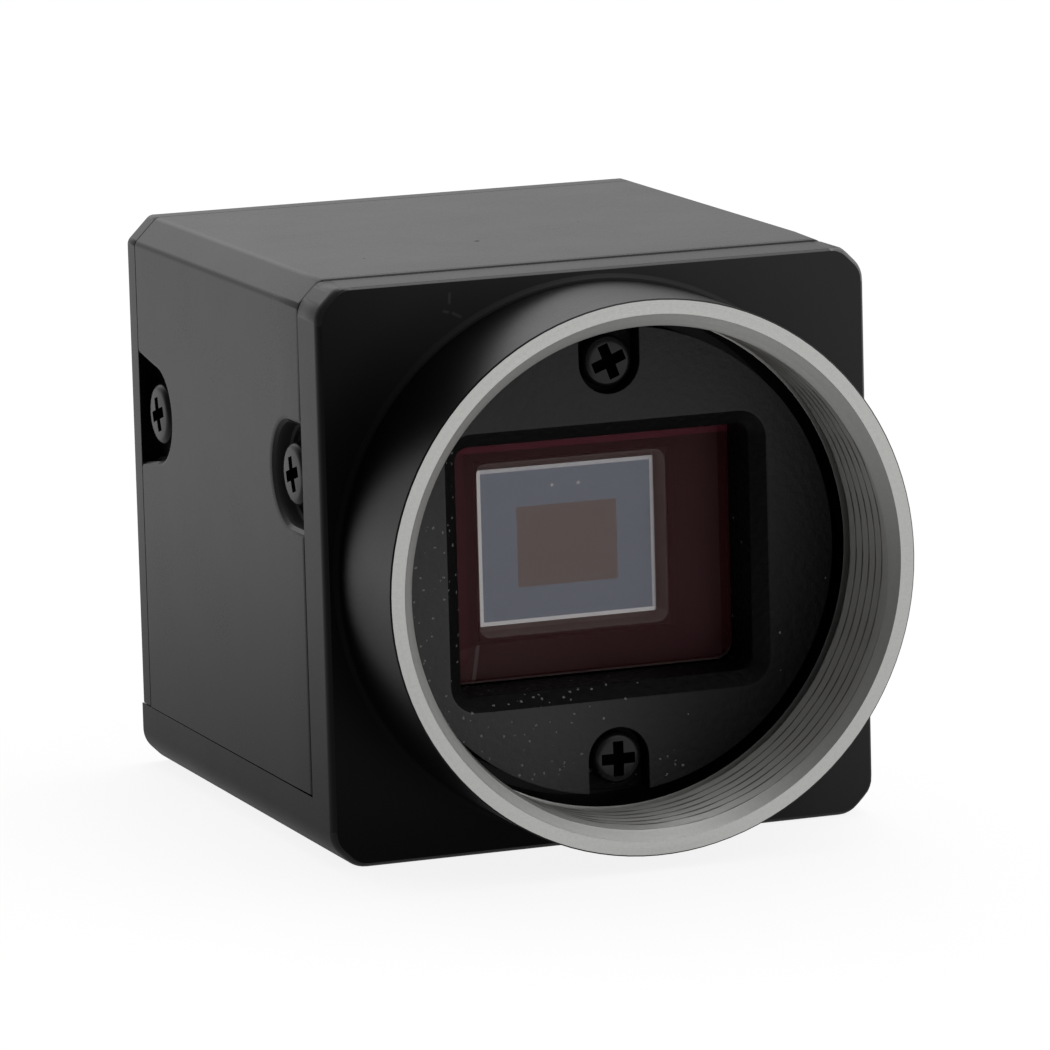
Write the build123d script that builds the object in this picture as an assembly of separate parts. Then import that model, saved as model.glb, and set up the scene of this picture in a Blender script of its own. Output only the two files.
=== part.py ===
"""Compact machine vision camera with a 1 inch - 32 lens mount and a 12.526 mm flange distance.

The origin is the centre of the lens mount's rim, on the optical axis. -Y points out of the
mount, +Y runs back through the camera, +X is to the right and +Z is up, seen from the front.
All sizes are in millimetres. Depths are places along Y and start with Y_.
"""
from build123d import *
from math import cos, radians, sin
import os

# ---- body ----------------------------------------------------------------------------
BODY_W = 29.0            # across X
BODY_H = 29.0            # across Z, centred on the optical axis
BODY_L = 29.56           # front face to rear face
FRONT_T = 2.82           # front plate
BASE_T = 3.2             # base plate, one piece with the front plate
WALL = 1.5               # side and top walls of the cover
REAR_T = 1.4             # rear plate
SEAM = 0.07              # gap between the outer casings
EDGE_CHAMFER = 1.25      # long edges of the body
EDGE_SOFT = 0.5          # rounding on both sides of that chamfer
FRONT_SOFT = 1.4         # the same on the front plate and base, which are rounder
FACE_BREAK = 0.25        # broken edge round the front face
COVER_CORNER_R = 0.8     # inner corners of the cover
FIT = 0.05               # clearance of parts that locate in each other

# ---- lens mount ----------------------------------------------------------------------
MOUNT_L = 7.24           # rim to front face
BARREL_R = 13.75
RIM_BREAK = 0.07
STEP_W = 0.32            # shoulder at the root of the barrel, out from it
STEP_H = 0.2             # and its slope
BORE_R = 12.3            # crest of the lens thread
BORE_BEVEL = 0.68        # lead-in of the thread
THREAD_END = 4.88        # rim to the relief groove behind the thread
RELIEF_W = 0.58
RELIEF_R = 12.72
FLANGE_TO_SENSOR = 12.526

# ---- sensor stack, from the front ----------------------------------------------------
BEZEL_R = 11.7
BEZEL_T = 3.26
WINDOW_W = 15.0          # straight part of the bezel's window
WINDOW_H = 12.4
WINDOW_R = 0.7
WINDOW_FLARE = 0.8       # the flare round the window, across
WINDOW_FLARE_T = 0.62    # and deep
FILTER_W = 16.6
FILTER_H = 14.6
FILTER_T = 1.0
GASKET_T = 1.3
GASKET_FRONT_W = 14.4    # its opening at the filter
GASKET_FRONT_H = 12.1
GASKET_BACK_W = 10.6     # and at the sensor
GASKET_BACK_H = 9.2
WEB_W = 15.2             # opening through the web behind the filter
WEB_H = 13.0
COVER_GLASS_T = 0.7
COVER_GLASS_W = 11.8
COVER_GLASS_H = 10.6
COVER_GLASS_SEAT = 0.35  # the web reaches past the glass's front by this
DIE_GAP = 0.8            # die to cover glass
DIE_W = 9.46
DIE_H = 7.9
DIE_T = 0.7
CAVITY_W = 10.0
CAVITY_H = 8.7
CAVITY_R = 0.5
PACKAGE_W = 13.2
PACKAGE_H = 11.8
PACKAGE_FLOOR = 0.5      # below the die

# ---- boards --------------------------------------------------------------------------
BOARD_T = 1.2
BOARD_MARGIN = 0.5       # to the walls round them
BOARD_CORNER_R = 1.2
FRONT_STACK = 4.1        # sensor board to processor board
CONNECTOR_ROOM = 7.24    # interface board to rear plate
PIN_SIDE = 3.6           # standoffs, in from the side walls
PIN_ROOF = 3.4           # the upper one, down from the roof
PIN_BASE = 2.9           # the lower one, up from the base
POST_R = 1.7
STANDOFF_AF = 3.2        # across flats
STUD_R = 0.78
STUD_L = 2.4

# ---- screws --------------------------------------------------------------------------
SCREW_R = 0.78           # shanks
HEAD_R = 1.6             # side and board screws
HEAD_T = 0.9
CROWN = 0.2              # rounding of the heads
SIDE_SCREW_L = 3.1
SIDE_SCREW_Z = 4.6
FRONT_SCREW_IN = 4.75    # front face to front pair
REAR_SCREW_IN = 3.95     # rear face to rear pair
POCKET_DEPTH = 1.0       # screw pockets in the cover
FRONT_POCKET_R = 2.55
REAR_POCKET_R = 2.42
POCKET_FLARE = 0.4       # the rear pockets open out this much at their mouth
LUG_W = 4.4
LUG_T = 3.2
BEZEL_SCREW_Z = 9.95
BEZEL_HEAD_R = 1.28
BEZEL_HEAD_T = 1.15
BEZEL_SCREW_L = 4.5
BEZEL_POCKET_R = 1.6
BEZEL_POCKET_T = 1.2
FOOT_SCREW_X = 9.6       # screws from below into the rear plate's feet
FOOT_SCREW_L = 4.2
FOOT_HEAD_R = 1.6
FOOT_HEAD_T = 1.0
FOOT_W = 4.2
FOOT_H = 2.8
FOOT_D = 3.6
FOOT_SKIN = 0.4          # left above the screw hole

# ---- base mounting holes -------------------------------------------------------------
M3_TAP_R = 1.25
M3_DEPTH = 2.7
M3_PITCH_X = 20.0
M3_PITCH_Y = 15.0
M3_FRONT_IN = 6.0        # front face to the first pair

# ---- rear connectors -----------------------------------------------------------------
USB_Z = -5.4
USB_LOCK_PITCH = 18.5
USB_LOCK_R = 0.8
USB_WIDE = 7.0           # inside the main cell of the socket
USB_NARROW = 3.5         # inside its side cell
USB_WEB = 0.9            # between the cells
USB_HIGH = 1.95
USB_NIP = 0.55           # cut lower corners of the main cell
USB_SHEET = 0.3
USB_TONGUE_T = 0.65
USB_PLUG_DEPTH = 5.4
USB_RECESS = 0.3         # its mouth behind the rear face
USB_SHELL_R = 0.5
USB_TONGUE_W = 4.3       # in the main cell
USB_SIDE_TONGUE_W = 2.2  # in the side cell
USB_TONGUE_IN = 0.8      # tongue tips behind the mouth
IO_X = -4.2
IO_Z = 5.4
IO_R = 4.1
IO_BORE_R = 3.35
IO_DEPTH = 5.3
IO_BREAK = 0.2           # broken edge of its mouth
IO_RECESS = 0.15
IO_PINS = 6
IO_PIN_R = 0.25
IO_PIN_CIRCLE = 1.75
IO_PIN_TIP = 1.4         # pin tips behind the mouth
IO_KEY_W = 0.9
IO_KEY_H = 0.4
IO_KEY_IN = 1.0          # key behind the mouth
LED_X = 6.0
LED_Z = 8.4
LED_R = 0.9
LED_FLANGE_R = 1.5
LED_FLANGE_T = 0.75
LED_CHIP = 1.6
LED_CHIP_T = 0.7
PANEL_CLEAR = 0.15       # round the connectors in the rear plate

# ---- chips and board links -----------------------------------------------------------
CHIP_Z = 1.8             # middle of the chips, above the axis
PROCESSOR = 11.0
PROCESSOR_T = 1.2
MEMORY_W = 9.0
MEMORY_H = 6.0
MEMORY_T = 1.0
BRIDGE_CHIP = 8.0
BRIDGE_CHIP_T = 1.1
LINK_W = 13.0
LINK_D = 3.4
LINK_UP = 3.1            # board-to-board connectors, up from the base
TONGUE_T = 1.0
TONGUE_L = 1.3
TONGUE_IN = 1.0          # tongue shorter than its plug at each end

CUT = 1.0                # cutters run past what they cut by this

# ---- places worked out from the sizes ------------------------------------------------
STEP_R = BARREL_R + STEP_W
Y_FACE = MOUNT_L
Y_PLATE = Y_FACE + FRONT_T
Y_REAR = Y_FACE + BODY_L
Y_REAR_PLATE = Y_REAR - REAR_T
Y_COVER_GLASS = FLANGE_TO_SENSOR - DIE_GAP - COVER_GLASS_T
Y_GASKET = Y_COVER_GLASS - GASKET_T
Y_LEDGE = Y_GASKET - FILTER_T
Y_BEZEL = Y_LEDGE - BEZEL_T
Y_CAVITY_FLOOR = FLANGE_TO_SENSOR + DIE_T
Y_SENSOR_BOARD = Y_CAVITY_FLOOR + PACKAGE_FLOOR
Y_WEB = Y_COVER_GLASS + COVER_GLASS_SEAT
Y_MAIN_BOARD = Y_SENSOR_BOARD + BOARD_T + FRONT_STACK
Y_IO_BOARD = Y_REAR_PLATE - CONNECTOR_ROOM - BOARD_T
Z_BASE = BASE_T - BODY_H / 2
Z_ROOF = BODY_H / 2 - WALL
X_WALL = BODY_W / 2 - WALL
Y_FRONT_SCREW = Y_FACE + FRONT_SCREW_IN
Y_REAR_SCREW = Y_REAR - REAR_SCREW_IN
X_POCKET = BODY_W / 2 - POCKET_DEPTH
PINS = [(PIN_SIDE - X_WALL, Z_BASE + PIN_BASE), (X_WALL - PIN_SIDE, Z_ROOF - PIN_ROOF)]
LINK_Z = Z_BASE + LINK_UP
SIDES = (-1, 1)


# ---- shapes used again and again -----------------------------------------------------
def slab(outline, y0, y1):
    """Extrude an outline, drawn as X and Z, from depth y0 back to depth y1."""
    return extrude(Plane.XZ.offset(-y0) * outline, amount=y0 - y1)


def rod(x, z, radius, y0, y1):
    """Round bar along Y."""
    return slab(Pos(x, z) * Circle(radius), y0, y1)


def cross_rod(y, z, radius, x0, x1):
    """Round bar along X."""
    return extrude(Plane.YZ.offset(x0) * Pos(y, z) * Circle(radius), amount=x1 - x0)


def upright(x, y, radius, z0, z1):
    """Round bar along Z."""
    return extrude(Plane.XY.offset(z0) * Pos(x, y) * Circle(radius), amount=z1 - z0)


def block(x, y, z):
    """Box between the low and high ends of x, y and z."""
    size = [high - low for low, high in (x, y, z)]
    middle = [(high + low) / 2 for low, high in (x, y, z)]
    return Pos(*middle) * Box(*size)


def rounded(width, height, radius):
    return RectangleRounded(width, height, radius)


def turned(*profile):
    """Body of revolution about the optical axis from (radius, depth) corners."""
    return revolve(make_face(Polyline(*profile, close=True)), Axis.Y)


def body_outline(softness):
    """Front view of the body: a square with chamfered and softened corners."""
    shape = Rectangle(BODY_W, BODY_H)
    shape = chamfer(shape.vertices(), EDGE_CHAMFER)
    return fillet(shape.vertices(), softness)


def above_base(clearance):
    """Everything above the base plate's top."""
    low = Z_BASE + clearance
    return block((-BODY_W, BODY_W), (0, 2 * Y_REAR), (low, low + 2 * BODY_H))


def below_base():
    low = Z_BASE - 2 * BODY_H
    return block((-BODY_W, BODY_W), (0, 2 * Y_REAR), (low, Z_BASE))


def screw(head_r, head_t, length):
    """Pan head screw on +Z: seat at z = 0, head above it and shank below."""
    profile = make_face(Polyline(
        (0, -length),
        (SCREW_R, -length),
        (SCREW_R, 0),
        (head_r, 0),
        (head_r, head_t - CROWN),
        (head_r - CROWN, head_t),
        (0, head_t),
        close=True,
    ))
    return revolve(Plane.XZ * profile, Axis.Z)


def facing(point, direction, part):
    """Put a part made on +Z at a point, turned to face a direction."""
    return Plane(origin=point, z_dir=direction).location * part


# ---- casings -------------------------------------------------------------------------
def front_housing():
    """Front plate, base plate and lens barrel, made as one piece."""
    plate = slab(body_outline(FRONT_SOFT), Y_FACE, Y_PLATE)
    front_rim = plate.faces().sort_by(Axis.Y)[0].edges()
    plate = chamfer(front_rim, FACE_BREAK)
    base = slab(body_outline(FRONT_SOFT), Y_PLATE - FACE_BREAK, Y_REAR) & below_base()
    barrel = turned(
        (0, 0),
        (BARREL_R - RIM_BREAK, 0),
        (BARREL_R, RIM_BREAK),
        (BARREL_R, Y_FACE - STEP_H),
        (STEP_R - STEP_H, Y_FACE - STEP_H),
        (STEP_R, Y_FACE),
        (STEP_R, Y_PLATE),
        (0, Y_PLATE),
    )
    inside = block((FIT - X_WALL, X_WALL - FIT), (Y_FACE, Y_WEB), (Z_BASE - FIT, Z_ROOF - FIT))
    boss = rod(0, 0, BARREL_R, Y_FACE, Y_WEB) & inside
    body = plate + base + barrel + boss

    bore = turned(
        (0, -CUT),
        (BORE_R + BORE_BEVEL + CUT, -CUT),
        (BORE_R, BORE_BEVEL),
        (BORE_R, THREAD_END),
        (RELIEF_R, THREAD_END),
        (RELIEF_R, THREAD_END + RELIEF_W),
        (BORE_R, THREAD_END + RELIEF_W),
        (BORE_R, Y_LEDGE),
        (0, Y_LEDGE),
    )
    filter_seat = slab(Rectangle(FILTER_W + 2 * FIT, FILTER_H + 2 * FIT), Y_LEDGE - CUT, Y_GASKET)
    web_opening = slab(Rectangle(WEB_W, WEB_H), Y_LEDGE, Y_WEB + CUT)
    body -= bore + filter_seat + web_opening

    for x, z in PINS:
        body += rod(x, z, POST_R, Y_PLATE - FACE_BREAK, Y_SENSOR_BOARD)
        body -= rod(x, z, STUD_R + FIT / 2, Y_SENSOR_BOARD - STUD_L, Y_SENSOR_BOARD + CUT)
    for side in SIDES:
        body += side_lug(side, Y_PLATE - FACE_BREAK, Y_FRONT_SCREW + LUG_W / 2)
        body -= side_tap(side, Y_FRONT_SCREW)
        body -= rod(0, side * BEZEL_SCREW_Z, SCREW_R + FIT / 2, Y_LEDGE - CUT, Y_WEB + CUT)
        body -= foot_screw_hole(side)
    for x, y in base_holes():
        low = -BODY_H / 2
        body -= upright(x, y, M3_TAP_R, low - CUT, low + M3_DEPTH)
    return body


def side_lug(side, y0, y1):
    """Block inside the cover's side wall that a side screw goes into."""
    ends = sorted((side * (X_WALL - FIT), side * (X_WALL - LUG_T)))
    return block(ends, (y0, y1), (SIDE_SCREW_Z - LUG_W / 2, SIDE_SCREW_Z + LUG_W / 2))


def side_tap(side, y):
    ends = sorted((side * BODY_W, side * (X_WALL - LUG_T - CUT)))
    return cross_rod(y, SIDE_SCREW_Z, SCREW_R + FIT / 2, *ends)


def base_holes():
    """Places of the four threaded holes under the base, as X and Y."""
    first = Y_FACE + M3_FRONT_IN
    return [(x * M3_PITCH_X / 2, first + row * M3_PITCH_Y) for x in SIDES for row in (0, 1)]


def y_foot():
    return Y_REAR_PLATE - FOOT_D / 2


def foot_screw_hole(side):
    """Counterbored hole up through the base for a rear plate screw."""
    low = -BODY_H / 2
    bore = upright(side * FOOT_SCREW_X, y_foot(), SCREW_R + FIT, low - CUT, Z_BASE + CUT)
    head = upright(side * FOOT_SCREW_X, y_foot(), FOOT_HEAD_R + 2 * FIT, low - CUT, low + FOOT_HEAD_T)
    return bore + head


def cover_shell():
    """U-shaped cover: the two sides and the top, with a pocket for each side screw."""
    y0 = Y_PLATE + SEAM
    y1 = Y_REAR_PLATE - SEAM
    inner = Rectangle(2 * X_WALL, 4 * Z_ROOF)
    inner = Pos(0, -Z_ROOF) * fillet(inner.vertices(), COVER_CORNER_R)
    solid = slab(body_outline(EDGE_SOFT), y0, y1)
    shell = (solid - slab(inner, y0 - CUT, y1 + CUT)) & above_base(SEAM)
    for side in SIDES:
        shell -= pocket(side, Y_FRONT_SCREW, y0, FRONT_POCKET_R, 0)
        shell -= pocket(side, Y_REAR_SCREW, y1, REAR_POCKET_R, POCKET_FLARE)
        for y in (Y_FRONT_SCREW, Y_REAR_SCREW):
            shell -= cross_rod(y, SIDE_SCREW_Z, SCREW_R + 3 * FIT, *sorted((side * BODY_W, 0)))
    return shell


def pocket(side, y, mouth, radius, flare):
    """U-shaped pocket round a side screw, open at the cover's front or rear edge."""
    past = mouth + CUT * (1 if mouth > y else -1)
    top = SIDE_SCREW_Z + radius
    low = SIDE_SCREW_Z - radius
    channel = make_face(Polyline(
        (y, low),
        (mouth, low - flare),
        (past, low - flare),
        (past, top + flare),
        (mouth, top + flare),
        (y, top),
        close=True,
    ))
    outline = Pos(y, SIDE_SCREW_Z) * Circle(radius) + channel
    return extrude(Plane.YZ.offset(side * X_POCKET) * outline, amount=side * (POCKET_DEPTH + CUT))


def rear_plate():
    """Rear plate with its two lugs for the cover, two feet and the connector openings."""
    plate = slab(body_outline(EDGE_SOFT), Y_REAR_PLATE, Y_REAR)
    plate = chamfer(plate.faces().sort_by(Axis.Y)[-1].edges(), FACE_BREAK)
    plate &= above_base(SEAM)
    for side in SIDES:
        plate += side_lug(side, Y_REAR_SCREW - LUG_W / 2, Y_REAR_PLATE)
        plate -= side_tap(side, Y_REAR_SCREW)
        plate += foot(side)
        plate -= rod(side * USB_LOCK_PITCH / 2, USB_Z, USB_LOCK_R, Y_REAR_PLATE - CUT, Y_REAR + CUT)
    usb_mouth = rounded(
        usb_width() + 2 * PANEL_CLEAR, usb_height() + 2 * PANEL_CLEAR, USB_SHELL_R + PANEL_CLEAR)
    plate -= slab(Pos(0, USB_Z) * usb_mouth, Y_REAR_PLATE - CUT, Y_REAR + CUT)
    plate -= rod(IO_X, IO_Z, IO_R + PANEL_CLEAR, Y_REAR_PLATE - CUT, Y_REAR + CUT)
    plate -= rod(LED_X, LED_Z, LED_R + FIT, Y_REAR_PLATE - CUT, Y_REAR + CUT)
    return plate


def foot(side):
    """Foot of the rear plate: it stands on the base and takes a screw from below."""
    x = side * FOOT_SCREW_X
    depth = (Y_REAR_PLATE - FOOT_D, Y_REAR_PLATE)
    body = block((x - FOOT_W / 2, x + FOOT_W / 2), depth, (Z_BASE, Z_BASE + FOOT_H))
    return body - upright(x, y_foot(), SCREW_R + FIT / 2, Z_BASE - CUT, Z_BASE + FOOT_H - FOOT_SKIN)


# ---- sensor stack --------------------------------------------------------------------
def sensor_bezel():
    """Round inner plate with a flared window and two open pockets for its screws."""
    disc = rod(0, 0, BEZEL_R, Y_BEZEL, Y_LEDGE)
    window = rounded(WINDOW_W, WINDOW_H, WINDOW_R)
    mouth = rounded(WINDOW_W + 2 * WINDOW_FLARE, WINDOW_H + 2 * WINDOW_FLARE, WINDOW_R + WINDOW_FLARE)
    flare = loft([Plane.XZ.offset(-Y_BEZEL) * mouth, Plane.XZ.offset(-Y_BEZEL - WINDOW_FLARE_T) * window])
    disc -= slab(window, Y_BEZEL - CUT, Y_LEDGE + CUT)
    disc -= flare
    floor = Y_BEZEL + BEZEL_POCKET_T
    for side in SIDES:
        z = side * BEZEL_SCREW_Z
        outward = sorted((z, side * (BEZEL_R + CUT)))
        disc -= rod(0, z, BEZEL_POCKET_R, Y_BEZEL - CUT, floor)
        disc -= block((-BEZEL_POCKET_R, BEZEL_POCKET_R), (Y_BEZEL - CUT, floor), outward)
        disc -= rod(0, z, SCREW_R + 2 * FIT, Y_BEZEL - CUT, Y_LEDGE + CUT)
    return disc


def bezel_screws():
    seat = Y_BEZEL + BEZEL_POCKET_T
    each = screw(BEZEL_HEAD_R, BEZEL_HEAD_T, BEZEL_SCREW_L)
    return [facing((0, seat, side * BEZEL_SCREW_Z), (0, -1, 0), each) for side in SIDES]


def filter_glass():
    return slab(Rectangle(FILTER_W, FILTER_H), Y_LEDGE, Y_GASKET)


def filter_gasket():
    """Rubber frame between filter and sensor; its opening narrows towards the sensor."""
    outer = Rectangle(WEB_W - 2 * FIT, WEB_H - 2 * FIT)
    front = Rectangle(GASKET_FRONT_W, GASKET_FRONT_H)
    back = Rectangle(GASKET_BACK_W, GASKET_BACK_H)
    funnel = loft([Plane.XZ.offset(-Y_GASKET) * front, Plane.XZ.offset(-Y_COVER_GLASS) * back])
    return slab(outer, Y_GASKET, Y_COVER_GLASS) - funnel


def sensor_cover_glass():
    return slab(Rectangle(COVER_GLASS_W, COVER_GLASS_H), Y_COVER_GLASS, Y_COVER_GLASS + COVER_GLASS_T)


def sensor_package():
    """Ceramic chip carrier with an open cavity for the die."""
    rim = Y_COVER_GLASS + COVER_GLASS_T
    body = slab(Rectangle(PACKAGE_W, PACKAGE_H), rim, Y_SENSOR_BOARD)
    return body - slab(rounded(CAVITY_W, CAVITY_H, CAVITY_R), rim - CUT, Y_CAVITY_FLOOR)


def sensor_die():
    return slab(Rectangle(DIE_W, DIE_H), FLANGE_TO_SENSOR, Y_CAVITY_FLOOR)


# ---- boards and what joins them ------------------------------------------------------
def board(y, notched=False):
    """Circuit board at depth y, clear of the walls, with a hole at each standoff.

    A notched board leaves room for the lugs at its sides.
    """
    half_w = X_WALL - BOARD_MARGIN
    low = Z_BASE + BOARD_MARGIN
    high = Z_ROOF - BOARD_MARGIN
    outline = Pos(0, (low + high) / 2) * rounded(2 * half_w, high - low, BOARD_CORNER_R)
    for x, z in PINS:
        outline -= Pos(x, z) * Circle(STUD_R + FIT)
    if notched:
        for side in SIDES:
            outline -= Pos(side * X_WALL, SIDE_SCREW_Z) * Rectangle(
                2 * (LUG_T + BOARD_MARGIN), LUG_W + 2 * BOARD_MARGIN)
    return slab(outline, y, y + BOARD_T)


def standoffs(y0, y1):
    """Hexagonal standoffs in two corners, each with a stud in front and a hole behind."""
    hexagon = RegularPolygon(STANDOFF_AF / 2, 6, major_radius=False)
    each = []
    for x, z in PINS:
        body = slab(Pos(x, z) * hexagon, y0, y1)
        body += rod(x, z, STUD_R, y0 - STUD_L, y0)
        body -= rod(x, z, STUD_R + FIT / 2, y1 - STUD_L, y1 + CUT)
        each.append(body)
    return each


def board_screws():
    """Screws that hold the last board to its standoffs."""
    each = screw(HEAD_R, HEAD_T, STUD_L)
    return [facing((x, Y_IO_BOARD + BOARD_T, z), (0, 1, 0), each) for x, z in PINS]


def link_body(y0, y1):
    """Plain housing of either half of a board-to-board connector."""
    return block((-LINK_W / 2, LINK_W / 2), (y0, y1), (LINK_Z - LINK_D / 2, LINK_Z + LINK_D / 2))


def link_tongue(y, clearance):
    """The plug's tongue, from depth y; with a clearance, the slot for it."""
    half_w = LINK_W / 2 - TONGUE_IN + clearance
    half_t = TONGUE_T / 2 + clearance
    return block((-half_w, half_w), (y, y + TONGUE_L + clearance), (LINK_Z - half_t, LINK_Z + half_t))


def link_plug(y0, y1):
    """Plug of a board-to-board connector, on the back of the board in front."""
    middle = (y0 + y1) / 2
    return link_body(y0, middle) + link_tongue(middle, 0)


def link_socket(y0, y1):
    """Its socket, on the front of the board behind."""
    middle = (y0 + y1) / 2
    return link_body(middle, y1) - link_tongue(middle, FIT)


def chip(width, height, y0, thickness):
    """Chip package on a board's surface at depth y0; a negative thickness points forwards."""
    y1 = y0 + thickness
    return slab(Pos(0, CHIP_Z) * Rectangle(width, height), min(y0, y1), max(y0, y1))


# ---- rear connectors -----------------------------------------------------------------
def usb_width():
    return USB_WIDE + USB_WEB + USB_NARROW + 2 * USB_SHEET


def usb_height():
    return USB_HIGH + 2 * USB_SHEET


def usb_cells():
    """Middle, outline and tongue width of the socket's two cells: a wide one with cut lower
    corners and a narrow one beside it."""
    left = -(USB_WIDE + USB_WEB + USB_NARROW) / 2
    wide_x = left + USB_WIDE / 2
    narrow_x = left + USB_WIDE + USB_WEB + USB_NARROW / 2
    wide = Rectangle(USB_WIDE, USB_HIGH)
    wide = chamfer(wide.vertices().sort_by(Axis.Y)[:2], USB_NIP)
    narrow = Rectangle(USB_NARROW, USB_HIGH)
    return (wide_x, wide, USB_TONGUE_W), (narrow_x, narrow, USB_SIDE_TONGUE_W)


def usb_shell():
    """Sheet metal shell of the locking socket, on the interface board."""
    y0 = Y_IO_BOARD + BOARD_T
    outline = rounded(usb_width(), usb_height(), USB_SHELL_R)
    shell = slab(Pos(0, USB_Z) * outline, y0, Y_REAR - USB_RECESS)
    for x, cell, _ in usb_cells():
        shell -= slab(Pos(x, USB_Z) * cell, y0 - CUT, Y_REAR + CUT)
    return shell


def usb_insert():
    """Plastic block at the bottom of each cell, with the contact tongue that stands on it."""
    back = Y_IO_BOARD + BOARD_T
    mouth = Y_REAR - USB_RECESS
    bottom = mouth - USB_PLUG_DEPTH
    parts = []
    for x, cell, tongue_w in usb_cells():
        plug = slab(Pos(x, USB_Z) * offset(cell, -FIT / 2), back, bottom)
        tongue = slab(Pos(x, USB_Z) * Rectangle(tongue_w, USB_TONGUE_T), bottom, mouth - USB_TONGUE_IN)
        parts.append(plug + tongue)
    return parts


def io_shell():
    """Round metal shell of the power and trigger connector."""
    y0 = Y_IO_BOARD + BOARD_T
    mouth = Y_REAR - IO_RECESS
    shell = rod(IO_X, IO_Z, IO_R, y0, mouth)
    shell = chamfer(shell.faces().sort_by(Axis.Y)[-1].edges(), IO_BREAK)
    shell -= rod(IO_X, IO_Z, IO_BORE_R, y0 - CUT, mouth + CUT)
    key = Pos(IO_X, IO_Z + IO_BORE_R) * Rectangle(IO_KEY_W, 2 * IO_KEY_H)
    return shell + slab(key, mouth - IO_DEPTH + FIT, mouth - IO_KEY_IN)


def io_insert():
    """Insulator that carries the pins."""
    y0 = Y_IO_BOARD + BOARD_T
    body = rod(IO_X, IO_Z, IO_BORE_R - FIT / 2, y0, Y_REAR - IO_RECESS - IO_DEPTH)
    for x, z in io_pin_places():
        body -= rod(x, z, IO_PIN_R + FIT / 2, y0 - CUT, Y_REAR)
    return body


def io_pin_places():
    step = 360 / IO_PINS
    first = 90 + step / 2
    turns = [radians(first + step * n) for n in range(IO_PINS)]
    return [(IO_X + IO_PIN_CIRCLE * cos(a), IO_Z + IO_PIN_CIRCLE * sin(a)) for a in turns]


def io_pins():
    tip = Y_REAR - IO_RECESS - IO_PIN_TIP
    return [rod(x, z, IO_PIN_R, Y_IO_BOARD + BOARD_T, tip) for x, z in io_pin_places()]


def status_led():
    low = Y_IO_BOARD + BOARD_T
    return slab(Pos(LED_X, LED_Z) * Rectangle(LED_CHIP, LED_CHIP), low, low + LED_CHIP_T)


def light_pipe():
    """Clear rod from the status lamp to the rear face, held by its flange behind the plate."""
    start = Y_IO_BOARD + BOARD_T + LED_CHIP_T + FIT
    pipe = rod(LED_X, LED_Z, LED_R, start, Y_REAR)
    return pipe + rod(LED_X, LED_Z, LED_FLANGE_R, Y_REAR_PLATE - FIT - LED_FLANGE_T, Y_REAR_PLATE - FIT)


# ---- fasteners -----------------------------------------------------------------------
def side_screws(y):
    """The pair of screws, left and right, that hold the cover at depth y."""
    each = screw(HEAD_R, HEAD_T, SIDE_SCREW_L)
    return [facing((side * X_POCKET, y, SIDE_SCREW_Z), (side, 0, 0), each) for side in SIDES]


def foot_screws():
    """Screws up through the base into the rear plate's feet."""
    each = screw(FOOT_HEAD_R, FOOT_HEAD_T - 2 * FIT, FOOT_SCREW_L)
    seat = -BODY_H / 2 + FOOT_HEAD_T
    return [facing((side * FOOT_SCREW_X, y_foot(), seat), (0, 0, -1), each) for side in SIDES]


# ---- the whole camera ----------------------------------------------------------------
def nodes():
    """Name and solids of every piece."""
    back_of_sensor_board = Y_SENSOR_BOARD + BOARD_T
    back_of_main_board = Y_MAIN_BOARD + BOARD_T
    return {
        "front_housing": front_housing(),
        "cover_shell": cover_shell(),
        "rear_plate": rear_plate(),
        "cover_screws_front": side_screws(Y_FRONT_SCREW),
        "cover_screws_rear": side_screws(Y_REAR_SCREW),
        "rear_plate_screws": foot_screws(),
        "sensor_bezel": sensor_bezel(),
        "bezel_screws": bezel_screws(),
        "filter_glass": filter_glass(),
        "filter_gasket": filter_gasket(),
        "sensor_cover_glass": sensor_cover_glass(),
        "sensor_package": sensor_package(),
        "sensor_die": sensor_die(),
        "sensor_board": board(Y_SENSOR_BOARD, notched=True),
        "processor_board": board(Y_MAIN_BOARD),
        "interface_board": board(Y_IO_BOARD),
        "front_standoffs": standoffs(back_of_sensor_board, Y_MAIN_BOARD),
        "rear_standoffs": standoffs(back_of_main_board, Y_IO_BOARD),
        "board_screws": board_screws(),
        "sensor_link_plug": link_plug(back_of_sensor_board, Y_MAIN_BOARD),
        "sensor_link_socket": link_socket(back_of_sensor_board, Y_MAIN_BOARD),
        "data_link_plug": link_plug(back_of_main_board, Y_IO_BOARD),
        "data_link_socket": link_socket(back_of_main_board, Y_IO_BOARD),
        "processor": chip(PROCESSOR, PROCESSOR, back_of_main_board, PROCESSOR_T),
        "memory": chip(MEMORY_W, MEMORY_H, Y_MAIN_BOARD, -MEMORY_T),
        "interface_chip": chip(BRIDGE_CHIP, BRIDGE_CHIP, Y_IO_BOARD, -BRIDGE_CHIP_T),
        "usb_shell": usb_shell(),
        "usb_insert": usb_insert(),
        "io_shell": io_shell(),
        "io_insert": io_insert(),
        "io_pins": io_pins(),
        "status_led": status_led(),
        "light_pipe": light_pipe(),
    }


os.makedirs("parts", exist_ok=True)
for name, piece in nodes().items():
    whole = Compound(children=list(piece)) if isinstance(piece, list) else piece
    export_step(whole, f"parts/{name}.step")
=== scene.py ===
"""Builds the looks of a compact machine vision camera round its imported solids.

Lengths are in metres in the frame of the solids: -Y points out of the lens mount, +X is to the
right seen from the front and +Z is up. The origin is the centre of the mount's rim. Inside the
materials the same places are in millimetres.
"""

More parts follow.
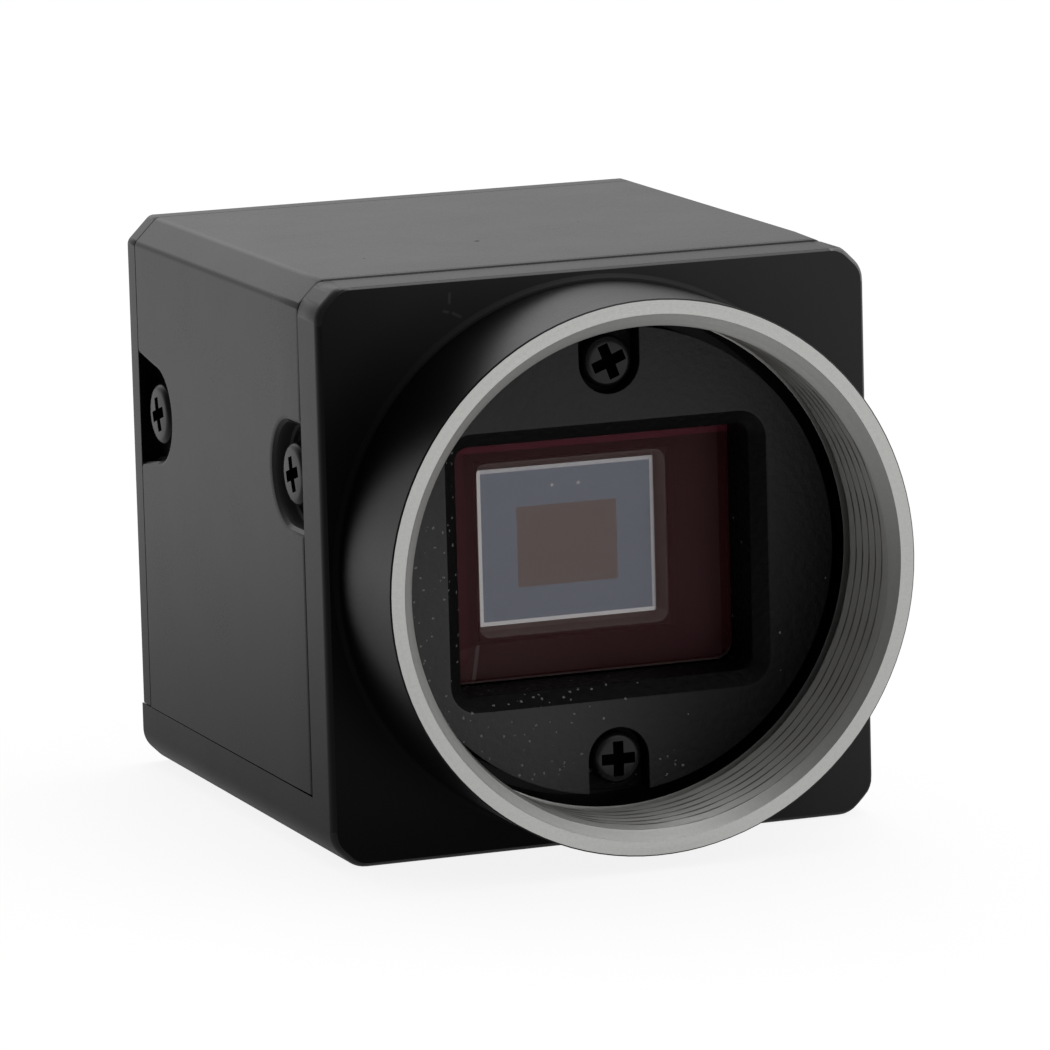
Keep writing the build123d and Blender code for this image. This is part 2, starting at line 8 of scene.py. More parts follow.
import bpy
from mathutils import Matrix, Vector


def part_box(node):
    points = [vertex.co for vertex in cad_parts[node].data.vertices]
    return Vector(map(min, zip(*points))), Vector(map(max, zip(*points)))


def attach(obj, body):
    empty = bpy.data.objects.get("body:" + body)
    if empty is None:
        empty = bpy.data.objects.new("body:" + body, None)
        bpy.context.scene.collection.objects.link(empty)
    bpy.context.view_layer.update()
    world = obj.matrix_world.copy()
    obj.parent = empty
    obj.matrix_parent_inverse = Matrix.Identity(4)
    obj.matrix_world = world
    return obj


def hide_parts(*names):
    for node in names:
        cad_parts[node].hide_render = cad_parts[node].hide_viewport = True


bl_info = {
    "name": "Machine Vision Camera",
    "version": (1, 0, 0),
    "blender": (4, 5, 0),
    "location": "3D View > Sidebar > Vision Camera",
    "description": "Builds a compact machine vision camera round its packed solids",
    "category": "Add Mesh",
}

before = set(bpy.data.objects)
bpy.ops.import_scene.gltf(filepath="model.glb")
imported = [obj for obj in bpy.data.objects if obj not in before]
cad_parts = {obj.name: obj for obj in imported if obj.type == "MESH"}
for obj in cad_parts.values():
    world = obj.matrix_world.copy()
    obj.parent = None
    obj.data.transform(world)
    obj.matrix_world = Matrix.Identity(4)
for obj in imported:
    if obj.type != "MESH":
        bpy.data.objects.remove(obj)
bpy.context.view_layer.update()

from contextlib import contextmanager
from math import cos, pi, radians, sin, tau

import bmesh
import bpy
from bpy.props import FloatProperty, FloatVectorProperty, IntProperty, PointerProperty
from mathutils import Matrix, Vector

MM = 0.001
HOUSING_LOW, HOUSING_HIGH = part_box("front_housing")
BEZEL_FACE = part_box("sensor_bezel")[0].y
DIE_LOW, DIE_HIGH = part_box("sensor_die")
FILTER_LOW, FILTER_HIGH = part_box("filter_glass")
FILTER_MIDDLE = (FILTER_LOW.y + FILTER_HIGH.y) / 2
HALF_WIDTH = HOUSING_HIGH.x    # of the square body
SKIN = HALF_WIDTH - 1.3 * MM   # edges of the casings further out than this are outer ones
HOUSING_FACE = 7.24 * MM       # the front plate's face
LONG_CHAMFER = 1.25 * MM       # leg of the chamfers along the body
PLATE_ROUNDING = 0.24 * MM     # of the edges round the front plate's face
MOUTH_ROUNDING = 0.45 * MM     # of the edges of the cover's front screw pockets
COVER_ROUNDING = 0.3 * MM      # of the cover's other outer edges
SEAM_ROUNDING = 0.06 * MM      # of the edges that meet the base and the rear plate
WINDOW_HALF_W = 7.5 * MM       # of the bezel's window
WINDOW_HALF_H = 6.2 * MM
HARD_EDGE = radians(30)        # edges that turn by more than this are rounded
ROUND_STEPS = 48               # of a screw

# light scuffs on the front plate: x, z and half length in mm, lean in radians
FRONT_MARKS = ((-7.6, 13.45, 0.35, 1.5), (-7.8, 12.8, 0.2, -0.3), (-7.25, 12.6, 0.35, -0.5))
# dull specks on the top: x, y and radius in mm
TOP_SPECKS = ((-1.96, 18.26, 0.17), (-9.0, 15.5, 0.08), (5.0, 22.0, 0.07))
# the housing's finishes, by their place in its list
FRONT_COAT, BARE_METAL, GLINTING_EDGE, FACE_COAT = range(4)

BLACK = (0.0, 0.0, 0.0, 1.0)
WHITE = (1.0, 1.0, 1.0, 1.0)
COAT_GRAIN = 7.0               # scale of the fine grain in the casings' coat
COAT_RELIEF = 0.0006 * MM      # and its height


# ---- sizes and colours a user may change --------------
def length(name, description, default):
    return FloatProperty(
        name=name, description=description, default=default, unit="LENGTH", precision=6)


def colour(name, description, default):
    return FloatVectorProperty(
        name=name, description=description, default=default,
        subtype="COLOR", size=3, min=0, max=1)


class MountSizes(bpy.types.PropertyGroup):
    crest: length("Thread crest", "Radius of the lens thread's crest", 12.32 * MM)
    depth: length("Thread depth", "Height of the lens thread", 0.24 * MM)
    pitch: length("Thread pitch", "Pitch of the lens thread", 25.4 / 32 * MM)
    bevel: length("Lead-in", "Depth of the bevel at the rim", 0.68 * MM)
    reach: length("Thread reach", "How far the thread goes in", 5.1 * MM)
    relief: length("Relief groove", "Far end of the groove behind the thread", 5.47 * MM)
    rim: length("Bright rim", "Outer radius of the bare rim face", 13.68 * MM)
    around: IntProperty(name="Steps round", description="Steps round the thread", default=288)
    along: IntProperty(name="Steps along", description="Steps along the thread", default=170)


class ScrewSizes(bpy.types.PropertyGroup):
    shank: length("Shank", "Radius of the shanks", 0.78 * MM)
    recess: length("Recess", "Tip to tip width of the cross recess", 1.85 * MM)
    arm: length("Recess arm", "Width of the recess's arms", 0.54 * MM)
    recess_depth: length("Recess depth", "Depth of the cross recess", 0.75 * MM)
    turn: FloatProperty(
        name="Turn", description="Turn of the upper bezel screw", default=radians(21),
        subtype="ANGLE")


class Finishes(bpy.types.PropertyGroup):
    housing: colour("Housing", "Black coat of the casings", (0.002, 0.002, 0.0021))
    # the edge colour is a painted highlight on the rounded edges of the front plate
    edge: colour("Edges", "Edges where the black coat is thin", (0.24, 0.24, 0.242))
    bezel: colour("Bezel", "Cast black inner plate", (0.045, 0.045, 0.0455))
    screw: colour("Screws", "Black screws", (0.01, 0.01, 0.0105))
    bare: colour("Bare metal", "Turned aluminium of the thread", (0.86, 0.86, 0.835))
    filter_tint: colour("Filter", "Tint of the filter's reflection", (0.10, 0.05, 0.06))
    film: colour("Filter film", "Dark red film on the filter", (0.275, 0.072, 0.083))
    ceramic: colour("Ceramic", "Walls round the sensor die", (0.85, 0.79, 0.72))
    silicon: colour("Silicon", "Sensor die", (0.27, 0.325, 0.39))
    board: colour("Board", "Solder resist", (0.01, 0.07, 0.03))


# ---- node expressions ---------------------------------
class Value:
    """A node socket that can be used in Python expressions."""

    def __init__(self, graph, socket):
        self.graph = graph
        self.socket = socket

    def _math(self, operation, *operands):
        return self.graph.node("ShaderNodeMath", dict(enumerate(operands)), operation=operation)

    def __add__(self, other):
        return self._math("ADD", self, other)

    def __radd__(self, other):
        return self._math("ADD", other, self)

    def __sub__(self, other):
        return self._math("SUBTRACT", self, other)

    def __rsub__(self, other):
        return self._math("SUBTRACT", other, self)

    def __mul__(self, other):
        return self._math("MULTIPLY", self, other)

    def __rmul__(self, other):
        return self._math("MULTIPLY", other, self)

    def __truediv__(self, other):
        return self._math("DIVIDE", self, other)

    def __abs__(self):
        return self._math("ABSOLUTE", self)

    def hypot(self, other):
        return self._math("SQRT", self * self + other * other)

    def atan2(self, other):
        return self._math("ARCTAN2", self, other)

    def fract(self):
        return self._math("FRACT", self)

    def above(self, other):
        return self._math("GREATER_THAN", self, other)

    def below(self, other):
        return self._math("LESS_THAN", self, other)

    def at_least(self, other):
        return self._math("MAXIMUM", self, other)

    def at_most(self, other):
        return self._math("MINIMUM", self, other)

    def ramp(self, low, high):
        """0 at low, 1 at high, smooth between."""
        return self.graph.node(
            "ShaderNodeMapRange", {"Value": self, "From Min": low, "From Max": high},
            interpolation_type="SMOOTHSTEP")


class Graph:
    """Node tree with one method that makes any node."""

    def __init__(self, tree):
        self.tree = tree

    def node(self, kind, inputs=None, output=0, **settings):
        made = self.tree.nodes.new(kind)
        for name, value in settings.items():
            setattr(made, name, value)
        for name, value in (inputs or {}).items():
            if isinstance(value, Value):
                self.tree.links.new(value.socket, made.inputs[name])
            else:
                made.inputs[name].default_value = value
        return Value(self, made.outputs[output])

    def constant(self, number):
        """A bare number, for where an expression has to start from a value."""
        made = self.node("ShaderNodeValue")
        made.socket.default_value = number
        return made

    def separate(self, vector):
        """The three parts of a vector or colour."""
        made = self.node("ShaderNodeSeparateXYZ", {0: vector})
        return [Value(self, socket) for socket in made.socket.node.outputs]

    def place(self):
        """Object coordinates in millimetres."""
        metres = self.node("ShaderNodeTexCoord", output="Object")
        return self.node("ShaderNodeVectorMath", {0: metres, "Scale": 1 / MM}, operation="SCALE")

    def noise(self, place, scale, detail=2.0, roughness=0.5):
        return self.node(
            "ShaderNodeTexNoise",
            {"Vector": place, "Scale": scale, "Detail": detail, "Roughness": roughness})

    def mix(self, factor, first, second):
        """Mix of two colours."""
        return self.node(
            "ShaderNodeMix", {"Factor": factor, "A": first, "B": second},
            output="Result", data_type="RGBA")

    def seen(self):
        """1 where the viewer looks straight at the surface, 0 where it only lights or mirrors."""
        return self.node("ShaderNodeLightPath", output="Is Camera Ray")


def rgba(shade, brightness=1.0):
    """A colour as the sockets take it, made brighter or darker."""
    return (*[part * brightness for part in shade], 1.0)


def within(distance, half):
    """1 where a value is nearer to 0 than half."""
    return abs(distance).below(half)


class Finish(Graph):
    """A material with a Principled shader."""

    def __init__(self, name, **constants):
        self.material = bpy.data.materials.new(name)
        self.material.use_nodes = True
        super().__init__(self.material.node_tree)
        self.shader = self.tree.nodes["Principled BSDF"]
        self.own = Value(self, self.shader.outputs[0])
        for key, value in constants.items():
            self.set(key.replace("_", " ").title().replace("Ior", "IOR"), value)

    def set(self, name, value):
        if isinstance(value, Value):
            self.tree.links.new(value.socket, self.shader.inputs[name])
        else:
            self.shader.inputs[name].default_value = value

    def bump(self, height, distance):
        """Relief of height times distance, in metres."""
        self.set("Normal", self.node("ShaderNodeBump", {"Height": height, "Distance": distance}))

    def show_mix(self, factor, first, second):
        """Show two shaders mixed: the first where the factor is 0, the second where it is 1."""
        both = self.node("ShaderNodeMixShader", {0: factor, 1: first, 2: second})
        self.tree.links.new(both.socket, self.tree.nodes["Material Output"].inputs["Surface"])


def black_coat(name, shade, grain, relief, rough, marks=(), specks=(), shine=0.5):
    """Matt black coat with a fine grain and faint cloudiness, and dull specks where they are named.

    With marks it is a plate's face, with painted shade that is deep black at the lower left and
    painted light towards the upper right, and a light scuff at each mark.
    """
    finish = Finish(name, specular_ior_level=shine)
    place = finish.place()
    x, y, z = finish.separate(place)
    cloud = finish.noise(place, 0.25, 3.0)
    fine = finish.noise(place, grain, 3.0, 0.6)
    roughness = rough + (fine - 0.5) * 0.12 + (cloud - 0.5) * 0.08
    body = finish.mix(cloud, rgba(shade, 0.8), rgba(shade, 1.25))
    if marks:
        # painted light and shade across the plate's face: deep black at the lower left, lighter to
        # the upper right
        painted_light_share = (x * 0.9 + z * 0.5).ramp(-10.0, 8.0) * (cloud * 0.3 + 0.85)
        body = finish.mix(painted_light_share, rgba(shade, 0.12), rgba(shade))
    scuffed = rgba((0.11, 0.11, 0.11))
    on_plate = y.above(HOUSING_FACE / MM - 0.24)
    on_top = z.above(10.0)
    for mark_x, mark_z, half, lean in marks:
        along = (x - mark_x) * cos(lean) + (z - mark_z) * sin(lean)
        across = (z - mark_z) * cos(lean) - (x - mark_x) * sin(lean)
        scuff = (1.0 - abs(along).ramp(half * 0.6, half)) * (1.0 - abs(across).ramp(0.03, 0.11))
        body = finish.mix(scuff * on_plate * 0.5, body, scuffed)
    for speck_x, speck_y, size in specks:
        dull = 1.0 - (x - speck_x).hypot(y - speck_y).ramp(size * 0.6, size)
        roughness = roughness.at_least(dull * on_top)
    finish.set("Base Color", body)
    finish.set("Roughness", roughness)
    finish.bump(fine, relief)
    return finish


def thin_coat(name, shade):
    """Black coat with a painted highlight along the edges, strongest at the upper right."""
    finish = Finish(name)
    place = finish.place()
    x, _, z = finish.separate(place)
    cloud = finish.noise(place, 6.0, 2.0)
    # painted highlight, strongest at the upper right where the light falls
    glinting = (x * 0.7 + z * 0.7).ramp(3.0, 15.0) * (cloud * 0.4 + 0.8)
    finish.set("Base Color", finish.mix(glinting, rgba(shade, 0.1), rgba(shade)))
    finish.set("Roughness", 0.3 + (cloud - 0.5) * 0.1)
    return finish


def cast_black(name, shade):
    """Die-cast, blackened and pebbled, with painted shade in the window and towards the right,
    painted light at the lower left, and bright specks there that are painted glints.
    """
    finish = Finish(name, specular_ior_level=0.15)
    place = finish.place()
    x, y, z = finish.separate(place)
    pebbles = finish.noise(place, 3.2, 2.0, 0.55)
    cells = {"Vector": place, "Scale": 2.4}
    grains = finish.node("ShaderNodeTexVoronoi", cells, output="Distance")
    chance = finish.separate(finish.node("ShaderNodeTexVoronoi", cells, output="Color"))[0]
    # painted light at the lower left of the face and painted shade towards its right
    painted_light_left = (x * -0.85 - z * 0.5).ramp(0.0, 9.0)
    dim = (x * 0.7 - z * 0.4).ramp(0.0, 10.0)
    ragged = grains + (finish.noise(place, 11.0, 2.0, 0.6) - 0.5) * 0.5
    # bright specks: painted glints of the grains, most where the painted light is
    speck = ragged.below(0.14) * chance.below(0.02 + painted_light_left * 0.9)
    face = finish.mix(painted_light_left * 0.3 - dim * 0.55 + 0.65, BLACK, rgba(shade, 2))
    # painted shade on all that lies behind the face: the window's walls and the screw pockets
    behind_face = y.above(BEZEL_FACE / MM + 0.05)
    body = finish.mix(behind_face, face, rgba(shade, 0.1))
    finish.set("Base Color", finish.mix(speck, body, rgba((0.28, 0.28, 0.28))))
    finish.set("Roughness", 0.5 + (pebbles - 0.5) * 0.3)
    finish.bump(pebbles + grains * 0.3 + speck * 0.3, 0.06 * MM)
    return finish


def turned_metal(name, shade):
    """Bare aluminium with fine turned rings, grainy near the rim, with painted shade on its right.
    """
    finish = Finish(name)
    place = finish.place()
    x, y, z = finish.separate(place)
    rings = finish.node(
        "ShaderNodeTexNoise", {"W": x.hypot(z) + y * 0.7, "Scale": 14.0, "Detail": 3.0},
        noise_dimensions="1D")
    grains = finish.noise(place, 5.0, 3.0, 0.7)
    near_rim = 1.0 - y.ramp(0.2, 1.0)
    rim_face = y.below(0.001)
    grainy = (0.5 + (grains - 0.5) * (0.25 + near_rim * 0.5)).at_least(0.0).at_most(1.0)
    body = finish.mix(grainy, rgba(shade, 0.8), rgba(shade, 1.06))
    # painted shade on the right of the bore, keeping the rim face bright
    shaded = x.ramp(2.0, 12.0) * (1.0 - rim_face) * 0.4
    finish.set("Base Color", finish.mix(shaded, body, BLACK))
    finish.set("Metallic", 0.97 - near_rim * 0.4 + rim_face * 0.43)
    finish.set("Roughness", 0.38 + (rings - 0.5) * 0.14 - rim_face * 0.14)
    finish.bump(rings + grains * near_rim * 0.6, 0.006 * MM)
    return finish


def plain(name, shade, rough, metal=0.0, grain=2.0, relief=0.01 * MM, shine=0.5):
    """Plastic, rubber, ceramic or metal with a soft unevenness of its own."""
    finish = Finish(name, metallic=metal, specular_ior_level=shine)
    cloud = finish.noise(finish.place(), grain, 3.0)
    finish.set("Base Color", finish.mix(cloud, rgba(shade, 0.85), rgba(shade)))
    finish.set("Roughness", rough + (cloud - 0.5) * 0.1)
    finish.bump(cloud, relief)
    return finish


def glass(name, tint, rough=0.0):
    """Clear glass; the tint colours only what it reflects."""
    finish = Finish(name, transmission_weight=1.0, ior=1.52, roughness=rough)
    finish.set("Base Color", WHITE)
    finish.set("Specular Tint", rgba(tint))
    return finish


def coated_filter(name, film, tint):
    """Infrared filter: glass under a dark red film, with painted reflected light along its left
    and upper edges.

    Its lower right corner is drawn rounded: a painted highlight along the rounded edge, and painted
    shade outside it.
    """
    finish = glass(name, tint)
    x, y, z = finish.separate(finish.place())
    half_w, half_h, corner = WINDOW_HALF_W / MM, WINDOW_HALF_H / MM, 0.9
    front = y.below(FILTER_MIDDLE / MM)
    # painted reflected light along the left and upper edges
    edges = (x.below(0.95 - half_w) * 0.3).at_least(z.above(half_h - 0.8))
    aside = (x - (half_w - corner)).at_least(0.0)
    beneath = (corner + 0.1 - half_h - z).at_least(0.0)
    outward = aside.hypot(beneath)
    # rounded lower right corner: painted highlight along its edge, painted shade outside it
    foot = outward.above(corner)
    rim = outward.above(corner - 0.09) * beneath.above(0.3)
    red, green, blue = film
    shade = finish.mix(edges, rgba(film), rgba((red * 1.75, green * 1.25, blue * 1.75)))
    shade = finish.mix(rim, shade, rgba((0.26, 0.18, 0.18)))
    shade = finish.mix(foot, shade, rgba((0.002, 0.002, 0.002)))
    share = (edges * 0.12 + 0.2).at_least(rim * 0.5).at_least(foot * 0.97) * front
    coat = finish.node("ShaderNodeBsdfDiffuse", {"Color": shade})
    finish.show_mix(share, finish.own, coat)
    return finish


def moulded_gasket(name, shade):
    """Black rubber with a painted highlight along the mitre at the lower left and painted light
    below it, most at the left.
    """
    finish = Finish(name, roughness=0.6)
    x, _, z = finish.separate(finish.place())
    fold_x, fold_z, fold_height, lean = -5.35, -4.6, 1.45, 0.75
    down = (z - fold_z) * (-1 / fold_height)
    below = down.above(0.0)
    # painted highlight along the mitre where the left and bottom slopes meet, and painted light on
    # the lower slope
    painted_mitre_highlight = within(x - fold_x + down * lean, 0.1) * below
    painted_light_below = (x * -1.0).ramp(-3.0, 5.0) * below
    body = finish.mix(painted_light_below, rgba(shade), rgba((0.06, 0.055, 0.05)))
    finish.set("Base Color", finish.mix(painted_mitre_highlight, body, rgba((0.30, 0.29, 0.28))))
    return finish


def silicon_die(name, shade):
    """Sensor die: a bright border that is partly its own edge and partly a painted highlight, with
    painted shade on its left and bottom sides, the darker active area and two bright test pads.
    """
    finish = Finish(name, roughness=0.22, metallic=1.0)
    x, _, z = finish.separate(finish.place())
    border = 0.2
    inner_w = (DIE_HIGH.x - DIE_LOW.x) / 2 / MM - border
    inner_h = (DIE_HIGH.z - DIE_LOW.z) / 2 / MM - border
    outside = abs(x).above(inner_w).at_least(abs(z).above(inner_h))
    # the border's brightness is partly painted highlight; its left and bottom sides get painted
    # shade
    left_or_bottom = x.below(-inner_w).at_least(z.below(-inner_h))
    bright = finish.mix(left_or_bottom, rgba((0.75, 0.76, 0.78)), WHITE)
    pads = abs(abs(x) - 0.7).hypot(z - 2.9).below(0.09)
    active = within(x - 0.03, 5.35 / 2) * within(z + 0.1, 4.07 / 2)
    body = finish.mix(outside, rgba(shade), bright)
    body = finish.mix(pads, body, rgba((0.6, 0.6, 0.6)))
    finish.set("Base Color", finish.mix(active, body, rgba((0.24, 0.217, 0.20))))
    return finish


def package_ceramic(name, shade, rim):
    """Light ceramic in the cavity, with the dark adhesive for the glass on the rim."""
    finish = Finish(name)
    place = finish.place()
    x, _, z = finish.separate(place)
    cavity_w = (DIE_HIGH.x - DIE_LOW.x) / 2 / MM + 0.37
    cavity_h = (DIE_HIGH.z - DIE_LOW.z) / 2 / MM + 0.55
    outside = abs(x).above(cavity_w).at_least(abs(z).above(cavity_h))
    cloud = finish.noise(place, 1.5, 2.0)
    finish.set("Base Color", finish.mix(outside, rgba(shade), rgba(rim)))
    finish.set("Roughness", 0.5 + (cloud - 0.5) * 0.1)
    return finish


def circuit_board(name, shade):
    """Green resist over copper, with traces faintly raised."""
    finish = Finish(name)
    cells = finish.node(
        "ShaderNodeTexVoronoi", {"Vector": finish.place(), "Scale": 0.8}, output="Distance",
        feature="F1", distance="CHEBYCHEV")
    trace = (cells * 6.0).fract().below(0.35)
    finish.set("Base Color", finish.mix(trace, rgba(shade), rgba(shade, 1.8)))
    finish.set("Roughness", 0.35 + trace * 0.1)
    finish.bump(trace, 0.02 * MM)
    return finish


MADE = {}    # the materials made so far, by the name they are asked for


def material(name):
    """The finish of that name, made the first time it is asked for."""
    if name not in MADE:
        user = bpy.context.scene.camera_finishes
        coat = (COAT_GRAIN, COAT_RELIEF)
        makers = {
            "black coat": lambda: black_coat(
                "black_coat", user.housing, *coat, 0.25, specks=TOP_SPECKS),
            "front coat": lambda: black_coat("front_coat", user.housing, *coat, 0.32),
            # the plate's face: a lighter copy of the black coat with less shine, its lighter colour
            # painted reflection, plus painted light and shade
            "face coat": lambda: black_coat(
                "face_coat", (0.06, 0.06, 0.061), *coat, 0.32, FRONT_MARKS, shine=0.1),
            # a lighter copy of the black coat for the cover's screw pockets: painted light where
            # the pockets lie in shade
            "pocket coat": lambda: black_coat(
                "pocket_coat", (0.05, 0.05, 0.05), COAT_GRAIN, 0.001 * MM, 0.5),
            "glinting edge": lambda: thin_coat("thin_coat", user.edge),
            "cast black": lambda: cast_black("cast_black", user.bezel),
            "black steel": lambda: black_coat(
                "black_steel", user.screw, 4.0, 0.002 * MM, 0.25),
            "turned aluminium": lambda: turned_metal("turned_aluminium", user.bare),
            "filter": lambda: coated_filter("coated_filter_glass", user.film, user.filter_tint),
            "cover glass": lambda: glass("clear_glass", (0.25, 0.25, 0.25)),
            "gasket": lambda: moulded_gasket("black_rubber", (0.02, 0.02, 0.02)),
            "ceramic": lambda: package_ceramic("package_ceramic", user.ceramic, user.housing),
            "silicon": lambda: silicon_die("silicon", user.silicon),
            "board": lambda: circuit_board("green_board", user.board),
            "chip": lambda: plain(
                "moulded_chip", (0.02, 0.02, 0.021), 0.55, grain=5.0, relief=0.02 * MM),
            "plastic": lambda: plain("black_plastic", (0.015, 0.015, 0.016), 0.45),
            "recess": lambda: plain("recess_shadow", (0.001, 0.001, 0.001), 0.8, shine=0.05),
            "brass": lambda: plain("gilt_brass", (0.85, 0.62, 0.25), 0.25, 1.0),
            "steel": lambda: plain("plated_steel", (0.62, 0.62, 0.63), 0.28, 1.0),
            "light pipe": lambda: glass("clear_plastic", (1, 1, 1), 0.08),
            "lamp": lambda: plain("white_lamp", (0.75, 0.78, 0.7), 0.4),
        }
        MADE[name] = makers[name]().material
    return MADE[name]


# ---- mesh helpers -------------------------------------
def link(name, data):
    """An object for a mesh, lamp or viewpoint, placed in the scene."""
    piece = bpy.data.objects.new(name, data)
    bpy.context.scene.collection.objects.link(piece)
    return piece


def piece_from(name, shape):
    """Turn a finished shape into a piece of the scene."""
    mesh = bpy.data.meshes.new(name)
    shape.to_mesh(mesh)
    shape.free()
    return link(name, mesh)


@contextmanager
def shape_of(piece):
    """The piece's mesh, open for changes, which go back into the piece at the end."""
    shape = bmesh.new()
    shape.from_mesh(piece.data)
    yield shape
    shape.to_mesh(piece.data)
    shape.free()


def baked(piece):
    """The piece with its modifiers turned into plain mesh."""
    bpy.context.view_layer.update()
    evaluated = piece.evaluated_get(bpy.context.evaluated_depsgraph_get())
    mesh = bpy.data.meshes.new_from_object(evaluated)
    piece.modifiers.clear()
    old = piece.data
    piece.data = mesh
    if old.users == 0:
        bpy.data.meshes.remove(old)
    mesh.name = piece.name
    return piece


def copy_of(node, name):
    """Merged copy of a solid's mesh, with flat areas joined into single faces."""
    same_place, flat = 0.0005 * MM, radians(0.3)
    shape = bmesh.new()
    shape.from_mesh(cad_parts[node].data)
    bmesh.ops.remove_doubles(shape, verts=shape.verts, dist=same_place)
    bmesh.ops.dissolve_limit(
        shape, angle_limit=flat, verts=shape.verts[:], edges=shape.edges[:], delimit=set())
    return piece_from(name, shape)


def soften(piece, width):
    """Round the hard edges a little, as machining, moulding or paint leaves them."""
    bevel = piece.modifiers.new("edges", "BEVEL")
    bevel.width = width
    bevel.segments = 2
    bevel.limit_method = "ANGLE"
    bevel.angle_limit = HARD_EDGE
    return baked(piece)


def soften_some(piece, widest, width_of):
    """Round each hard edge by width_of(edge), up to the widest; edges with 0 stay sharp."""
    with shape_of(piece) as shape:
        weight = shape.edges.layers.float.new("bevel_weight_edge")
        for edge in shape.edges:
            if edge.calc_face_angle(0) > HARD_EDGE:
                edge[weight] = width_of(edge) / widest
    bevel = piece.modifiers.new("edges", "BEVEL")
    bevel.width = widest
    bevel.segments = 3
    bevel.limit_method = "WEIGHT"
    bevel.use_clamp_overlap = False
    return baked(piece)


def out_from_axis(place):
    """How far a place lies from the middle of the square body, to the side or up and down."""
    return max(abs(place.x), abs(place.z))


def front_edge_width(edge):
    """The wider rounding of edges that run round the outside of the front plate, near its face."""
    beyond_barrel = HALF_WIDTH + 0.4 * MM
    return PLATE_ROUNDING * all(
        out_from_axis(vert.co) > SKIN and vert.co.xz.length > beyond_barrel
        and 0.1 * MM < vert.co.y - HOUSING_FACE < 0.6 * MM for vert in edge.verts)


def ease_corners(cover, front):
    """Bring the cover's corners in to the rounder front plate over the last few millimetres."""
    reach, recess, spread, touching = 3 * MM, 0.09 * MM, 0.6 * MM, 0.0001 * MM
    steep, shallow = cos(pi / 8), sin(pi / 8)
    with shape_of(cover) as shape:
        everything = shape.verts[:] + shape.edges[:] + shape.faces[:]
        bmesh.ops.bisect_plane(
            shape, geom=everything, dist=touching, plane_co=(0, front + reach, 0),
            plane_no=(0, 1, 0))
        for vert in shape.verts:
            if vert.co.y < front + 0.01 * MM:
                inside = [HALF_WIDTH - abs(vert.co.x), HOUSING_HIGH.z - abs(vert.co.z)]
                near = Vector((min(inside), max(inside) - LONG_CHAMFER)).length
                push = recess * max(0.0, 1 - near / spread)
                side = Vector((steep, shallow) if inside[0] < inside[1] else (shallow, steep))
                vert.co.x -= push * side.x * (1 if vert.co.x > 0 else -1)
                vert.co.z -= push * side.y * (1 if vert.co.z > 0 else -1)


def cut(piece, tool, solver="MANIFOLD"):
    """Take the tool's volume out of the piece."""
    change = piece.modifiers.new("cut", "BOOLEAN")
    change.operation = "DIFFERENCE"
    change.solver = solver
    change.object = tool
    baked(piece)
    bpy.data.objects.remove(tool)
    return piece


def smooth(piece, angle=25):
    """Smooth shading with flat faces kept flat and hard edges kept hard."""
    with shape_of(piece) as shape:
        for face in shape.faces:
            face.smooth = True
        for edge in shape.edges:
            edge.smooth = edge.calc_face_angle(pi) < radians(angle)
    weights = piece.modifiers.new("normals", "WEIGHTED_NORMAL")
    weights.keep_sharp = True
    return baked(piece)


def finish_piece(piece, slot_name, nodes, *names):
    """Give the piece its materials, keep which face has which, attach it to the root body and hide
    the solids it stands for.
    """
    numbers = [min(face.material_index, len(names) - 1) for face in piece.data.polygons]
    piece.data.materials.clear()
    for name in names:
        piece.data.materials.append(material(name))
    piece.data.polygons.foreach_set("material_index", numbers)
    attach(piece, "root")
    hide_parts(*nodes)
    return piece


def dressed(node, name, slot_name, finish, width):
    """A solid's own shape with softened edges and a finish."""
    piece = copy_of(node, name)
    if width:
        soften(piece, width)
    smooth(piece)
    return finish_piece(piece, slot_name, [node], finish)


def join_rings(shape, rings):
    """Faces between each ring of points and the next; a ring may be a single point."""
    for low, high in zip(rings, rings[1:]):
        steps = max(len(low), len(high))
        for k in range(steps):
            n = (k + 1) % steps
            corners = [
                low[k % len(low)], low[n % len(low)], high[n % len(high)], high[k % len(high)]]
            shape.faces.new(list(dict.fromkeys(corners)))


def turns(steps):
    """The angles of a full turn in equal steps."""
    return [tau * k / steps for k in range(steps)]


def lathe(name, profile, steps):
    """Closed solid of revolution about Z from (radius, height) points, from axis to axis."""
    shape = bmesh.new()
    rings = []
    for radius, height in profile:
        if radius == 0:
            rings.append([shape.verts.new((0, 0, height))])
        else:
            rings.append([
                shape.verts.new((radius * cos(a), radius * sin(a), height)) for a in turns(steps)])
    join_rings(shape, rings)
    bmesh.ops.recalc_face_normals(shape, faces=shape.faces)
    return piece_from(name, shape)


def new_tree(name, sockets):
    """Geometry node tree with named inputs."""
    tree = bpy.data.node_groups.new(name, "GeometryNodeTree")
    tree.interface.new_socket("Geometry", in_out="INPUT", socket_type="NodeSocketGeometry")
    for socket, kind in sockets:
        tree.interface.new_socket(socket, in_out="INPUT", socket_type=kind)
    tree.interface.new_socket("Geometry", in_out="OUTPUT", socket_type="NodeSocketGeometry")
    graph = Graph(tree)
    start = tree.nodes.new("NodeGroupInput")
    given = {socket.name: Value(graph, socket) for socket in start.outputs if socket.name}
    return graph, given


def close_tree(graph, geometry):
    """End a tree in Realize Instances and Set Material, which leaves the materials as they come."""
    real = graph.node("GeometryNodeRealizeInstances", {"Geometry": geometry})
    same = graph.node("GeometryNodeSetMaterial", {"Geometry": real, "Selection": False})
    end = graph.tree.nodes.new("NodeGroupOutput")
    graph.tree.links.new(same.socket, end.inputs[0])
    return graph.tree


